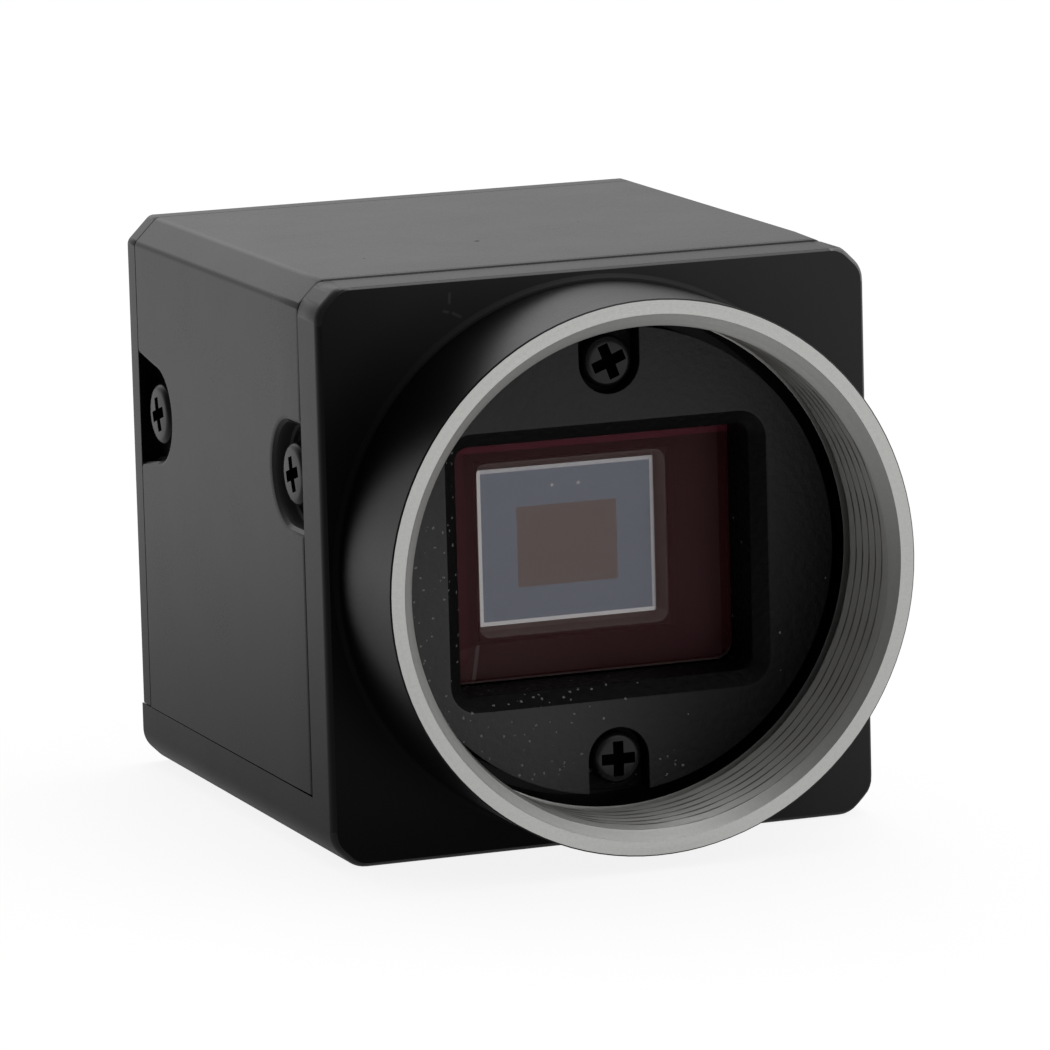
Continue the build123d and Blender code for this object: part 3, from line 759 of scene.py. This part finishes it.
def run_tree(piece, tree, values):
    """Run a geometry node tree on the piece with its named inputs set."""
    modifier = piece.modifiers.new("nodes", "NODES")
    modifier.node_group = tree
    for item in tree.interface.items_tree:
        if item.item_type == "SOCKET" and item.in_out == "INPUT" and item.name in values:
            modifier[item.identifier] = values[item.name]
    return baked(piece)


# ---- the lens thread ----------------------------------
def thread_tree():
    """Turns a plain bar along Y into the air inside a threaded, bevelled bore."""
    sockets = [(name, "NodeSocketFloat") for name in ("Crest", "Depth", "Pitch", "Bevel")]
    graph, given = new_tree("lens_thread", sockets)
    x, y, z = graph.separate(graph.node("GeometryNodeInputPosition"))
    groove_half, flank = 0.45, 0.42    # as shares of the pitch
    whole_turns = 8.0                  # keeps the share along a turn above 0
    along = (y / given["Pitch"] + z.atan2(x) * (1 / tau) + whole_turns).fract()
    groove = ((groove_half - abs(along - 0.5)) * (1 / flank)).at_least(0.0).at_most(1.0)
    bevel = given["Crest"] + given["Bevel"] - y
    radius = (given["Crest"] + given["Depth"] * groove).at_least(bevel)
    share = radius / x.hypot(z)
    moved = graph.node("ShaderNodeCombineXYZ", {0: x * share, 1: y, 2: z * share})
    placed = graph.node(
        "GeometryNodeSetPosition", {"Geometry": given["Geometry"], "Position": moved})
    return close_tree(graph, placed)


def thread_air(sizes, start):
    """The air inside the threaded bore, to be cut out of the housing."""
    shape = bmesh.new()
    rings = []
    for i in range(sizes.along + 1):
        y = start + (sizes.reach - start) * i / sizes.along
        rings.append([
            shape.verts.new((sizes.crest * cos(a), y, sizes.crest * sin(a)))
            for a in turns(sizes.around)])
    join_rings(shape, rings)
    shape.faces.new(rings[0])
    shape.faces.new(reversed(rings[-1]))
    bmesh.ops.recalc_face_normals(shape, faces=shape.faces)
    values = {
        "Crest": sizes.crest, "Depth": sizes.depth, "Pitch": sizes.pitch, "Bevel": sizes.bevel}
    return run_tree(piece_from("thread_air", shape), thread_tree(), values)


def housing_finish(mesh, face, sizes):
    """Which of the housing's finishes a face has."""
    centre, lean = face.center, face.normal.y
    radius = centre.xz.length
    corners = [mesh.vertices[v].co.xz.length for v in face.vertices]
    nearest, furthest = min(corners), max(corners)
    past_face = centre.y - HOUSING_FACE
    at_corner = radius > HALF_WIDTH * 1.25
    # the rounded corners round the face get the painted edge highlight
    if at_corner and abs(past_face) < 0.3 * MM and -0.93 < lean < -0.2:
        return GLINTING_EDGE
    bore = sizes.crest + sizes.bevel + 0.02 * MM
    in_bore = radius < bore and centre.y < sizes.relief
    on_rim = radius < sizes.rim and centre.y < 0.001 * MM
    ring = nearest > sizes.crest - 0.12 * MM and furthest < bore
    behind_thread = ring and abs(centre.y - sizes.relief) < 0.05 * MM
    if in_bore or on_rim or behind_thread:
        return BARE_METAL
    near_face = -MM < past_face < 0.01 * MM
    facing = lean < -0.9
    at_root = furthest < HALF_WIDTH * 1.03    # where the barrel stands on the plate
    if near_face and furthest > sizes.rim and (facing or at_root):
        return FACE_COAT
    return FRONT_COAT


class CAMERA_OT_housing(bpy.types.Operator):
    """Front plate, base and lens barrel with its bare thread"""
    bl_idname = "vision_camera.housing"
    bl_label = "Housing"

    def execute(self, context):
        sizes = context.scene.camera_mount
        piece = copy_of("front_housing", "housing")
        top = HOUSING_HIGH.z - 0.15 * MM    # a little lower than the cover, so the seam shows
        before_rim = -0.3 * MM
        for vert in piece.data.vertices:
            vert.co.z = min(vert.co.z, top)
        soften_some(piece, PLATE_ROUNDING, front_edge_width)
        soften(piece, 0.07 * MM)
        cut(piece, thread_air(sizes, before_rim))
        smooth(piece)
        finish_piece(
            piece, "black_housing", ["front_housing"],
            "front coat", "turned aluminium", "glinting edge", "face coat")
        for face in piece.data.polygons:
            face.material_index = housing_finish(piece.data, face, sizes)
        return {"FINISHED"}


class CAMERA_OT_casings(bpy.types.Operator):
    """Cover and rear plate"""
    bl_idname = "vision_camera.casings"
    bl_label = "Cover and rear plate"

    def execute(self, context):
        cover = copy_of("cover_shell", "cover")
        cover_low, cover_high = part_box("cover_shell")
        base, back = cover_low.z + 0.1 * MM, cover_high.y - 0.1 * MM
        lower_seam, rear_seam, taper = 0.065 * MM, 0.04 * MM, 5 * MM
        ease_corners(cover, cover_low.y)
        for vert in cover.data.vertices:    # narrow the seams, the lower one less at the front
            if vert.co.z < base:
                vert.co.z -= lower_seam * min(1.0, (vert.co.y - cover_low.y) / taper)
            if vert.co.y > back:
                vert.co.y += rear_seam
        low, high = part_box("cover_screws_front")
        round_pocket, side_face = 2 * MM, HALF_WIDTH - 0.05 * MM

        def width(edge):
            ends = [vert.co for vert in edge.verts]
            if all(out_from_axis(end) < SKIN for end in ends):
                return 0
            if all(end.z < base or end.y > back for end in ends):
                return SEAM_ROUNDING
            mouth = all(
                end.y < high.y + round_pocket and abs(end.x) > side_face
                and low.z - round_pocket < end.z < high.z + round_pocket for end in ends)
            return MOUTH_ROUNDING if mouth else COVER_ROUNDING

        soften_some(cover, MOUTH_ROUNDING, width)
        smooth(cover)
        finish_piece(cover, "black_housing", ["cover_shell"], "black coat", "pocket coat")
        # faces deep in the screw pockets get the lighter pocket coat, painted light in their shade
        for face in cover.data.polygons:
            depth = HALF_WIDTH - abs(face.center.x)
            deep = 0.04 * MM < depth < 1.1 * MM and abs(face.normal.x) < 0.9
            face.material_index = int(deep and low.z - MM < face.center.z < high.z + MM)
        dressed("rear_plate", "rear_plate_dressed", "black_housing", "black coat", 0.06 * MM)
        return {"FINISHED"}


class CAMERA_OT_bezel(bpy.types.Operator):
    """Cast inner plate with the sensor window"""
    bl_idname = "vision_camera.bezel"
    bl_label = "Bezel"

    def execute(self, context):
        bezel = copy_of("sensor_bezel", "bezel")
        for vert in bezel.data.vertices:    # the window's left wall, a little further left
            by_window = -WINDOW_HALF_W - MM < vert.co.x < -WINDOW_HALF_W + 2 * MM
            if by_window and abs(vert.co.z) < WINDOW_HALF_H + 0.8 * MM:
                vert.co.x -= 0.5 * MM
        soften(bezel, 0.08 * MM)
        smooth(bezel)
        finish_piece(bezel, "black_bezel", ["sensor_bezel"], "cast black")
        return {"FINISHED"}


class CAMERA_OT_sensor(bpy.types.Operator):
    """Filter, gasket, sensor glass, package and die"""
    bl_idname = "vision_camera.sensor"
    bl_label = "Sensor"

    def execute(self, context):
        dressed("filter_glass", "filter_pane", "filter", "filter", 0.06 * MM)
        dressed("filter_gasket", "gasket", "gasket", "gasket", 0)
        dressed("sensor_cover_glass", "sensor_pane", "clear_glass", "cover glass", 0.04 * MM)
        dressed("sensor_package", "package", "ceramic", "ceramic", 0.04 * MM)
        dressed("sensor_die", "die", "silicon", "silicon", 0)
        return {"FINISHED"}


# ---- screws -------------------------------------------
def cross_recess(sizes, head_height):
    """The tapered cross that is cut into a head."""
    tip, arm = sizes.recess / 2, sizes.arm / 2
    corners = [(tip, -arm), (tip, arm), (arm, arm)]
    above_head = (0.3 * MM, 1.1, 1.03)    # height, then shares of the arm's width and reach
    foot = (-sizes.recess_depth, 0.85, 0.8)
    shape = bmesh.new()
    rings = []
    for height, wide, long in (above_head, foot):
        ring = []
        for quarter in range(4):
            turn = Matrix.Rotation(quarter * pi / 2, 4, "Z")
            for x, y in corners:
                out = x * (long if x == tip else wide)
                ring.append(shape.verts.new(turn @ Vector((out, y * wide, head_height + height))))
        rings.append(ring)
    join_rings(shape, rings)
    shape.faces.new(rings[0])
    shape.faces.new(reversed(rings[1]))
    bmesh.ops.triangulate(shape, faces=[face for face in shape.faces if len(face.verts) > 4])
    bmesh.ops.recalc_face_normals(shape, faces=shape.faces)
    return piece_from("recess", shape)


def screw_blank(name, head_radius, head_height, shank_length, sizes):
    """One pan head screw with a cross recess, seat at the origin and head on +Z."""
    round_over, steps, crown = 0.4 * MM, 5, 0.9
    profile = [
        (0, -shank_length), (sizes.shank, -shank_length), (sizes.shank, 0), (head_radius, 0)]
    for k in range(steps + 1):
        a = pi / 2 * k / steps
        out = head_radius - round_over * (1 - cos(a))
        profile.append((out, head_height - round_over * (1 - crown * sin(a))))
    profile.append((0, head_height))
    screw = lathe(name, profile, ROUND_STEPS)
    return cut(screw, cross_recess(sizes, head_height), "EXACT")


def pair_tree():
    """Places two copies of a screw, one on each side of a middle point."""
    sockets = [(name, "NodeSocketVector") for name in ("Middle", "Aside", "Facing", "Outward")]
    sockets += [(name, "NodeSocketFloat") for name in ("Turn", "Second Turn")]
    graph, given = new_tree("screw_pair", sockets)
    index = graph.node("GeometryNodeInputIndex")
    side = index * 2.0 - 1.0

    def along(base, vector):
        step = graph.node("ShaderNodeVectorMath", {0: vector, "Scale": side}, operation="SCALE")
        return graph.node("ShaderNodeVectorMath", {0: base, 1: step}, operation="ADD")

    spots = graph.node("GeometryNodeSetPosition", {
        "Geometry": graph.node("GeometryNodePoints", {"Count": 2}),
        "Position": along(given["Middle"], given["Aside"])})
    facing = along(given["Facing"], given["Outward"])
    rotation = graph.node("FunctionNodeAlignRotationToVector", {"Vector": facing}, axis="Z")
    spin = given["Turn"] * (1.0 - index) + given["Second Turn"] * index
    turned = graph.node("ShaderNodeCombineXYZ", {2: spin})
    own = graph.node("FunctionNodeEulerToRotation", {0: turned})
    rotation = graph.node(
        "FunctionNodeRotateRotation", {0: rotation, 1: own}, rotation_space="LOCAL")
    return close_tree(graph, graph.node("GeometryNodeInstanceOnPoints", {
        "Points": spots, "Instance": given["Geometry"], "Rotation": rotation}))


def screws(tree, node, name, slot_name, finish, head, shank_length, places):
    """A pair of screws that stands for the two of a node; the head is its radius and height."""
    sizes = bpy.context.scene.camera_screws
    recess_reach, top_skin = sizes.recess * 0.55, 0.2 * MM
    head_radius, head_height = head
    pair = screw_blank(name, head_radius, head_height, shank_length, sizes)
    pair.data.materials.append(material(finish))
    pair.data.materials.append(material("recess"))
    for face in pair.data.polygons:
        low = min(pair.data.vertices[v].co.z for v in face.vertices)
        inside = face.center.xy.length < recess_reach
        face.material_index = int(inside and 0 < low < head_height - top_skin)
    run_tree(pair, tree, places)
    if not pair.data.polygons:
        raise RuntimeError(name + " came out empty")
    smooth(pair, 40)
    finish_piece(pair, slot_name, [node], finish, "recess")


def placing(middle, aside, facing, outward, first, second):
    """Where the two screws of a pair stand, where their heads face and how far each is turned."""
    return {
        "Middle": middle, "Aside": aside, "Facing": facing, "Outward": outward,
        "Turn": first, "Second Turn": second}


class CAMERA_OT_screws(bpy.types.Operator):
    """All screws, in pairs"""
    bl_idname = "vision_camera.screws"
    bl_label = "Screws"

    def execute(self, context):
        tree = pair_tree()
        black = ("black_screw", "black steel")
        nowhere, right, front, rear, down = (0, 0, 0), (1, 0, 0), (0, -1, 0), (0, 1, 0), (0, 0, -1)
        pan_radius, pan_height = pan = (1.6 * MM, 0.9 * MM)
        for node, name in (
                ("cover_screws_front", "side_screws_front"),
                ("cover_screws_rear", "side_screws_rear")):
            low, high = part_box(node)
            middle = (low + high) / 2
            screws(tree, node, name, *black, pan, 3.1 * MM, placing(
                (0, middle.y, middle.z), (high.x - pan_height, 0, 0), nowhere, right, 0.3, 0.8))
        low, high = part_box("bezel_screws")
        radius, height = 1.28 * MM, 1.15 * MM
        turn = context.scene.camera_screws.turn
        screws(tree, "bezel_screws", "window_screws", *black, (radius, height), 4.5 * MM, placing(
            (0, low.y + height, 0), (0, 0, high.z - radius), front, nowhere, 0.0, turn))
        low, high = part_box("rear_plate_screws")
        screws(tree, "rear_plate_screws", "base_screws", *black, pan, 4.2 * MM, placing(
            (0, (low.y + high.y) / 2, low.z + pan_height), (high.x - pan_radius, 0, 0),
            down, nowhere, 0.5, 1.1))
        low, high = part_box("board_screws")
        middle = (low + high) / 2
        screws(tree, "board_screws", "inner_screws", "zinc_steel", "steel", pan, 2.4 * MM, placing(
            (middle.x, high.y - pan_height, middle.z),
            (high.x - pan_radius - middle.x, 0, high.z - pan_radius - middle.z),
            rear, nowhere, 0.2, 0.9))
        return {"FINISHED"}


class CAMERA_OT_inside(bpy.types.Operator):
    """Boards, their chips and what joins them"""
    bl_idname = "vision_camera.inside"
    bl_label = "Inside"

    def execute(self, context):
        for slot_name, finish, width, nodes in (
                ("circuit_board", "board", 0, (
                    "sensor_board", "processor_board", "interface_board")),
                ("chip", "chip", 0.08 * MM, ("processor", "memory", "interface_chip")),
                ("connector_plastic", "plastic", 0.05 * MM, (
                    "sensor_link_plug", "sensor_link_socket",
                    "data_link_plug", "data_link_socket")),
                ("brass", "brass", 0.05 * MM, ("front_standoffs", "rear_standoffs"))):
            for node in nodes:
                dressed(node, node + "_dressed", slot_name, finish, width)
        return {"FINISHED"}


class CAMERA_OT_sockets(bpy.types.Operator):
    """Rear sockets and the status lamp"""
    bl_idname = "vision_camera.sockets"
    bl_label = "Sockets"

    def execute(self, context):
        dressed("usb_shell", "data_socket", "zinc_steel", "steel", 0.04 * MM)
        dressed("usb_insert", "data_contacts", "connector_plastic", "plastic", 0.03 * MM)
        dressed("io_shell", "power_socket", "zinc_steel", "steel", 0.05 * MM)
        dressed("io_insert", "power_insulator", "connector_plastic", "plastic", 0.03 * MM)
        dressed("io_pins", "power_pins", "brass", "brass", 0.06 * MM)
        dressed("status_led", "status_lamp", "light_pipe", "lamp", 0.05 * MM)
        dressed("light_pipe", "lamp_window", "light_pipe", "light pipe", 0.05 * MM)
        return {"FINISHED"}


# ---- stage --------------------------------------------
def surround(x, y, z):
    """How bright the surroundings are in a direction, for what they light and what mirrors them.

    Brightest above and behind, a little brighter above the front right, and dim on the left.
    """
    above_behind = (y * 0.8 + z * 0.6).ramp(0.83, 1.0)
    left = (x * -0.9 + y * -0.4 + z * 0.35).ramp(0.2, 0.85)
    above_front = z.ramp(0.4, 0.85) * (1.0 - y.ramp(-0.1, 0.5)) * x.ramp(-0.5, 0.3)
    return 0.47 + above_behind * 0.58 + above_front * 0.16 - left * 0.38


def surroundings(scene):
    """White where it is seen; as a light it is softer, as surround says."""
    scene.world = bpy.data.worlds.new("studio")
    scene.world.use_nodes = True
    graph = Graph(scene.world.node_tree)
    seen = graph.seen()
    x, y, z = graph.separate(graph.node("ShaderNodeTexCoord", output="Generated"))
    strength = surround(x, y, z) * (1.0 - seen) + seen
    background = graph.tree.nodes["Background"]
    background.inputs["Color"].default_value = WHITE
    graph.tree.links.new(strength.socket, background.inputs["Strength"])


def floor_finish():
    """Pale floor: white with a faint shadow when seen.

    When mirrored it looks like the surroundings just below the horizon, with a painted shadow
    beneath the camera, where it is dimmer than in front of it and at a distance.
    """
    finish = Finish("pale_floor", roughness=0.9, specular_ior_level=0.0)
    finish.set("Base Color", rgba((0.25, 0.25, 0.25)))
    finish.set("Emission Color", WHITE)
    finish.set("Emission Strength", 0.87)
    x, y, _ = finish.separate(finish.place())
    distance = x.hypot(y)
    reach = distance + 15.0
    below_horizon = finish.constant(-0.1)
    # painted shadow for reflections: the floor glows less beneath the camera
    far = distance.ramp(0.0, 150.0).at_least((y * -1.0).ramp(0.0, 4.0) * 0.75)
    mirrored = surround(x / reach, y / reach, below_horizon) * (0.4 + far * 0.84)
    glow = finish.node("ShaderNodeEmission", {"Color": WHITE, "Strength": mirrored})
    finish.show_mix(finish.seen(), glow, finish.own)
    return finish


def floor_piece(low):
    """A wide floor at the height of low."""
    half = 2.0
    corners = [(-half, -half, low), (half, -half, low), (half, half, low), (-half, half, low)]
    mesh = bpy.data.meshes.new("floor")
    mesh.from_pydata(corners, [], [(0, 1, 2, 3)])
    mesh.materials.append(floor_finish().material)
    return link("floor", mesh)


def softbox(name, place, target, size, power):
    """A square lamp at a place, turned to the target."""
    data = bpy.data.lights.new(name, "AREA")
    data.shape = "RECTANGLE"
    data.size = data.size_y = size
    data.energy = power
    lamp = link(name, data)
    lamp.location = place
    lamp.rotation_mode = "QUATERNION"
    lamp.rotation_quaternion = (Vector(target) - Vector(place)).to_track_quat("-Z", "Y")


def viewpoint(place, right, down, ahead):
    """The view from a place, by the directions that are right, down and ahead in it."""
    data = bpy.data.cameras.new("viewpoint")
    data.lens = 266.64
    data.sensor_width = 36.0
    data.clip_start = 0.01
    view = link("viewpoint", data)
    turn = Matrix((right, -down, -ahead)).transposed().to_4x4()
    view.matrix_world = Matrix.Translation(place) @ turn
    return view


class CAMERA_OT_stage(bpy.types.Operator):
    """Floor, light and viewpoint"""
    bl_idname = "vision_camera.stage"
    bl_label = "Stage"

    def execute(self, context):
        scene = context.scene
        scene.view_settings.view_transform = "Standard"
        surroundings(scene)
        floor = floor_piece(HOUSING_LOW.z)
        softbox("top_softbox", (0.1, 0.15, 0.5), (0, 0.02, 0), 0.35, 0.5)
        scene.camera = viewpoint(
            Vector((-137.934, -344.988, 69.197)) * MM,
            Vector((0.9326655, -0.3597711, -0.0264547)),
            Vector((-0.0876011, -0.1547358, -0.9840645)),
            Vector((0.3499444, 0.9201204, -0.1758331)))
        return {"FINISHED"}


class CAMERA_PT_parts(bpy.types.Panel):
    """Lists the steps that build the camera"""
    bl_label = "Vision Camera"
    bl_idname = "CAMERA_PT_parts"
    bl_space_type = "VIEW_3D"
    bl_region_type = "UI"
    bl_category = "Vision Camera"

    def draw(self, context):
        for operator in OPERATORS:
            self.layout.operator(operator.bl_idname)
        for group, _ in GROUPS:
            settings = getattr(context.scene, group)
            for name in settings.bl_rna.properties.keys():
                if name not in {"rna_type", "name"}:
                    self.layout.prop(settings, name)


GROUPS = (
    ("camera_mount", MountSizes),
    ("camera_screws", ScrewSizes),
    ("camera_finishes", Finishes),
)
OPERATORS = (
    CAMERA_OT_stage,
    CAMERA_OT_housing,
    CAMERA_OT_casings,
    CAMERA_OT_bezel,
    CAMERA_OT_sensor,
    CAMERA_OT_screws,
    CAMERA_OT_inside,
    CAMERA_OT_sockets,
)


def register():
    for name, group in GROUPS:
        bpy.utils.register_class(group)
        setattr(bpy.types.Scene, name, PointerProperty(type=group))
    for operator in OPERATORS:
        bpy.utils.register_class(operator)
    bpy.utils.register_class(CAMERA_PT_parts)


def unregister():
    bpy.utils.unregister_class(CAMERA_PT_parts)
    for operator in reversed(OPERATORS):
        bpy.utils.unregister_class(operator)
    for name, group in reversed(GROUPS):
        delattr(bpy.types.Scene, name)
        bpy.utils.unregister_class(group)


def main():
    register()
    for operator in OPERATORS:
        family, name = operator.bl_idname.split(".")
        getattr(getattr(bpy.ops, family), name)()


if __name__ == "__main__":
    main()
